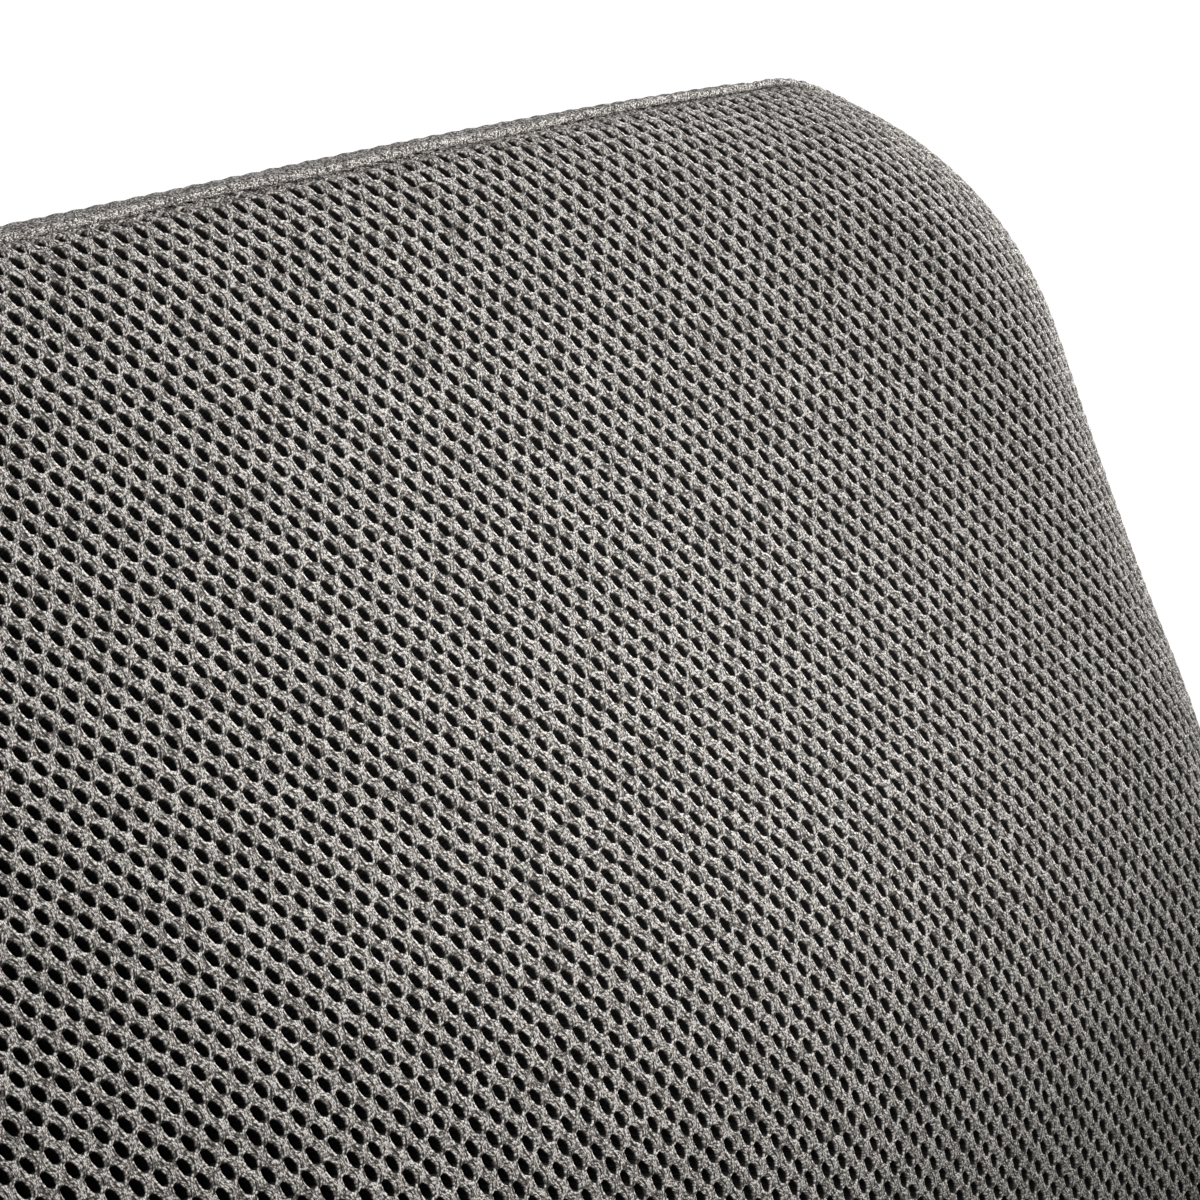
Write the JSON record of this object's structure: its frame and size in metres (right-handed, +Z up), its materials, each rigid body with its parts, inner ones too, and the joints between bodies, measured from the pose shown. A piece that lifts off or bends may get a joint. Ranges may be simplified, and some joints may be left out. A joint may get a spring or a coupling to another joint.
{
  "type": "lumbar support cushion",
  "caption": "Lumbar support cushion: crowned foam core in a zipped spacer-mesh cover, with a rear strap and a side release buckle.",
  "frame": {"origin": "on the resting plane, under the middle of the bounding box", "axes": "+Z up, front face towards -Y, strap and zip on +Y, width along X"},
  "size_m": [0.3488, 0.1292, 0.2833],
  "materials": {
    "foam": "open-cell memory foam",
    "liner": "thin knitted polyester",
    "mesh_front": "spacer mesh, warm grey, open holes",
    "mesh_side": "spacer mesh, warm grey",
    "mesh_back": "spacer mesh, warm grey",
    "seam": "rolled seam allowance",
    "webbing": "woven polyester webbing",
    "elastic": "woven elastic band",
    "zip_teeth": "nylon coil",
    "zip_metal": "dark plated zinc",
    "buckle": "acetal, fine satin texture",
    "label": "blank woven satin"
  },
  "bodies": {
    "cushion": {"foam_core": "foam", "inner_liner": "liner", "cover_front_panel": "mesh_front", "cover_gusset": "mesh_side", "cover_back_upper": "mesh_back", "cover_back_lower": "mesh_back", "front_seam": "seam", "back_seam": "seam", "zip_tape_upper": "webbing", "zip_tape_lower": "webbing", "zip_coil_upper": "zip_teeth", "zip_coil_lower": "zip_teeth", "zip_top_stop": "zip_metal", "zip_bottom_stop": "zip_metal", "strap_left": "webbing", "strap_right": "elastic", "strap_patch_left": "webbing", "strap_patch_right": "webbing", "buckle_female": "buckle", "buckle_male": "buckle", "care_label": "label"},
    "slider": {"zip_slider": "zip_metal"},
    "pull": {"zip_pull": "zip_metal"},
    "prong_upper": {"buckle_prong_upper": "buckle"},
    "prong_lower": {"buckle_prong_lower": "buckle"},
    "adjuster": {"strap_adjuster": "buckle"}
  },
  "joints": [
    {"name": "zip_slide", "type": "slide", "parent": "cushion", "child": "slider", "axis": [1, 0, 0], "range_m": [0, 0.24]},
    {"name": "pull_swing", "type": "hinge", "parent": "slider", "child": "pull", "pos_m": [-0.1231, 0.04564, 0.044], "axis": [0, 0, 1], "range_deg": [0, 170]},
    {"name": "adjuster_slide", "type": "slide", "parent": "cushion", "child": "adjuster", "axis": [1, 0, 0], "range_m": [-0.008, 0.024]},
    {"name": "prong_squeeze", "type": "hinge", "parent": "cushion", "child": "prong_upper", "pos_m": [0.0063, 0.06005, 0.1656], "axis": [0, -1, 0], "range_deg": [0, 7], "stiffness_Nm_per_rad": 0.02},
    {"name": "prong_squeeze_lower", "type": "hinge", "parent": "cushion", "child": "prong_lower", "pos_m": [0.0063, 0.06005, 0.1464], "axis": [0, 1, 0], "range_deg": [0, 7], "stiffness_Nm_per_rad": 0.02}
  ],
  "couplings": [
    {"joint": "prong_squeeze_lower", "follows": "prong_squeeze", "ratio": 1}
  ]
}
